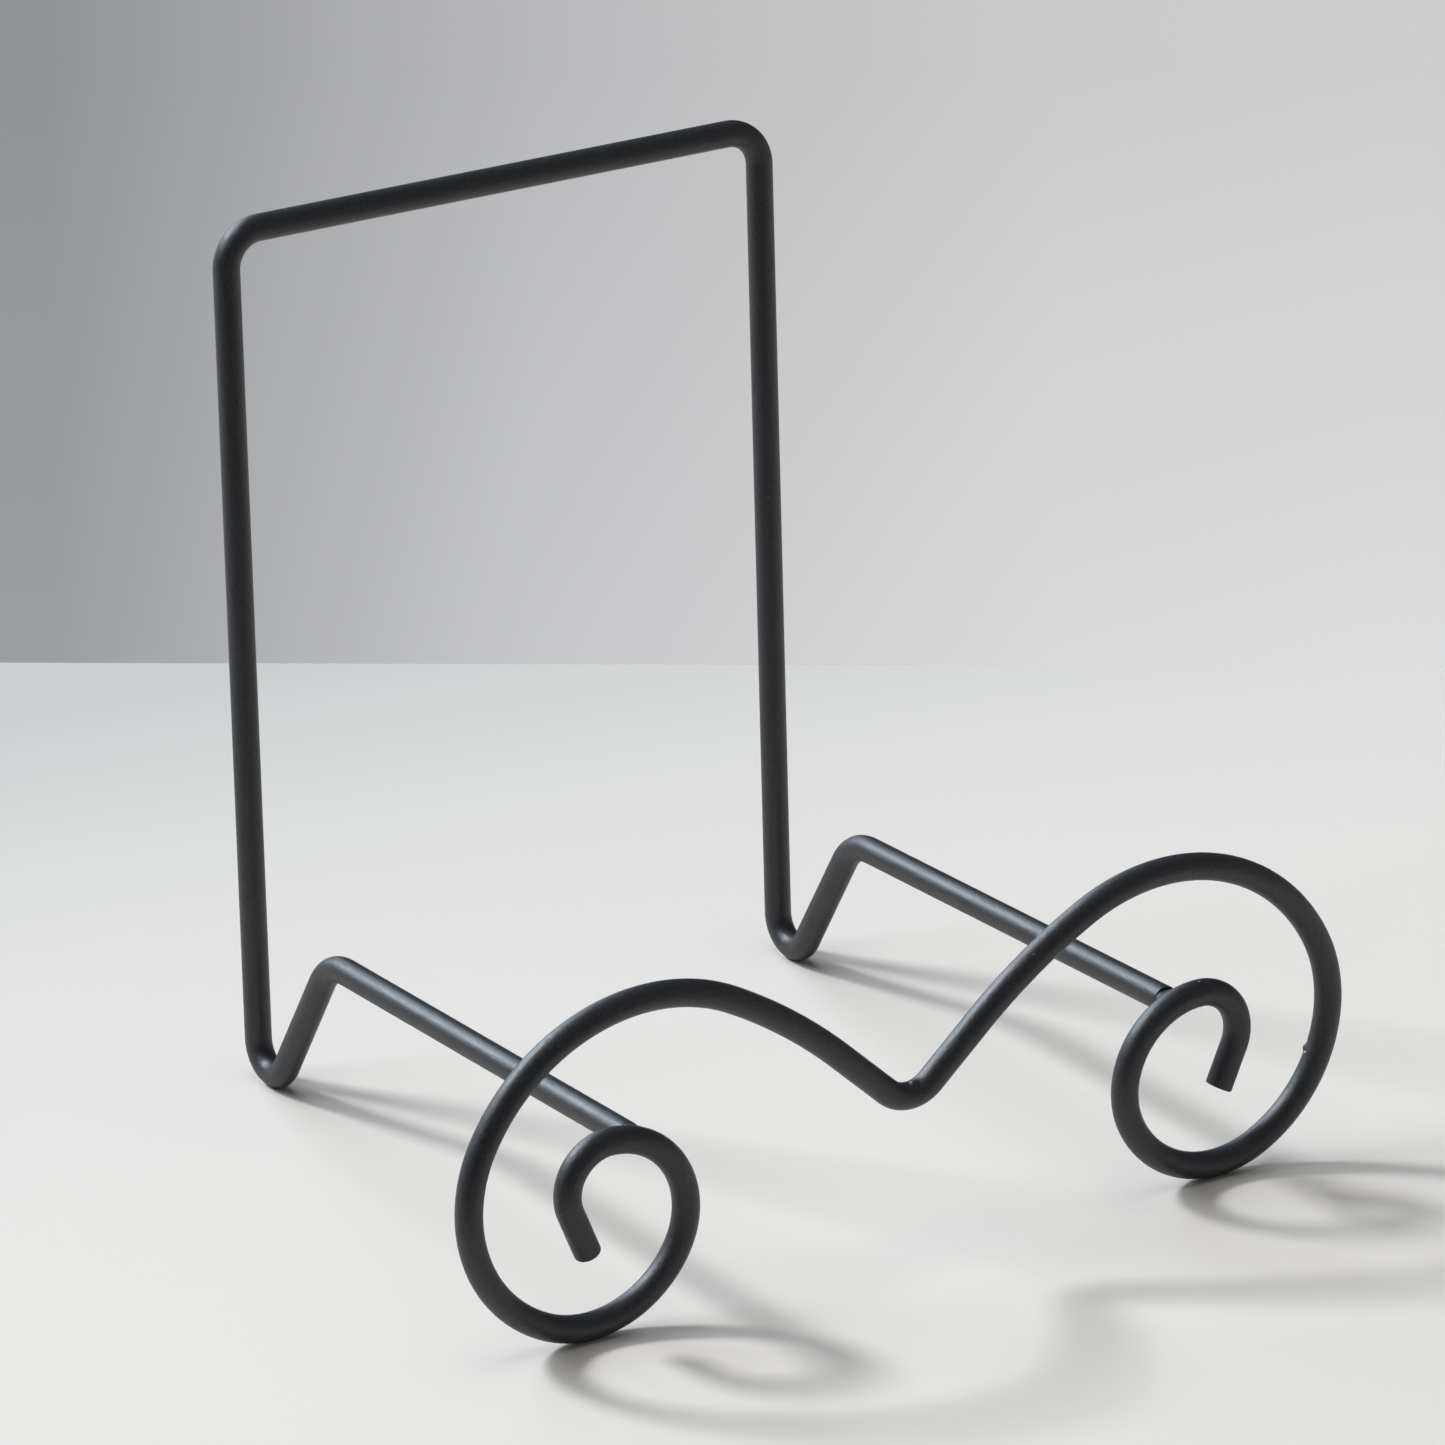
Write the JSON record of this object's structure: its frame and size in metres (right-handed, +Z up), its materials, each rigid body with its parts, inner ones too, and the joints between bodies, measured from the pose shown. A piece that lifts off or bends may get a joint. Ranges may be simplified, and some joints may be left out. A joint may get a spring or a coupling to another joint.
{
  "type": "photo album stand",
  "caption": "Freestanding stand of bent black wire: an upright back frame, low rails and a scrolled front that keep an open album from sliding.",
  "frame": {"origin": "on the table, at the middle of the bounding box's underside", "axes": "+Z up, +Y from the scrolled front to the upright back, +X across the stand, to the right of someone who faces its front"},
  "size_m": [0.2366, 0.1827, 0.2081],
  "materials": {
    "frame_coat": "satin black powder coat on steel wire",
    "scroll_coat": "satin black powder coat on steel wire",
    "weld_coat": "matte black powder coat over a weld"
  },
  "bodies": {
    "root": {"back_frame": "frame_coat", "front_scroll": "scroll_coat", "weld_left": "weld_coat", "weld_right": "weld_coat"}
  },
  "joints": []
}
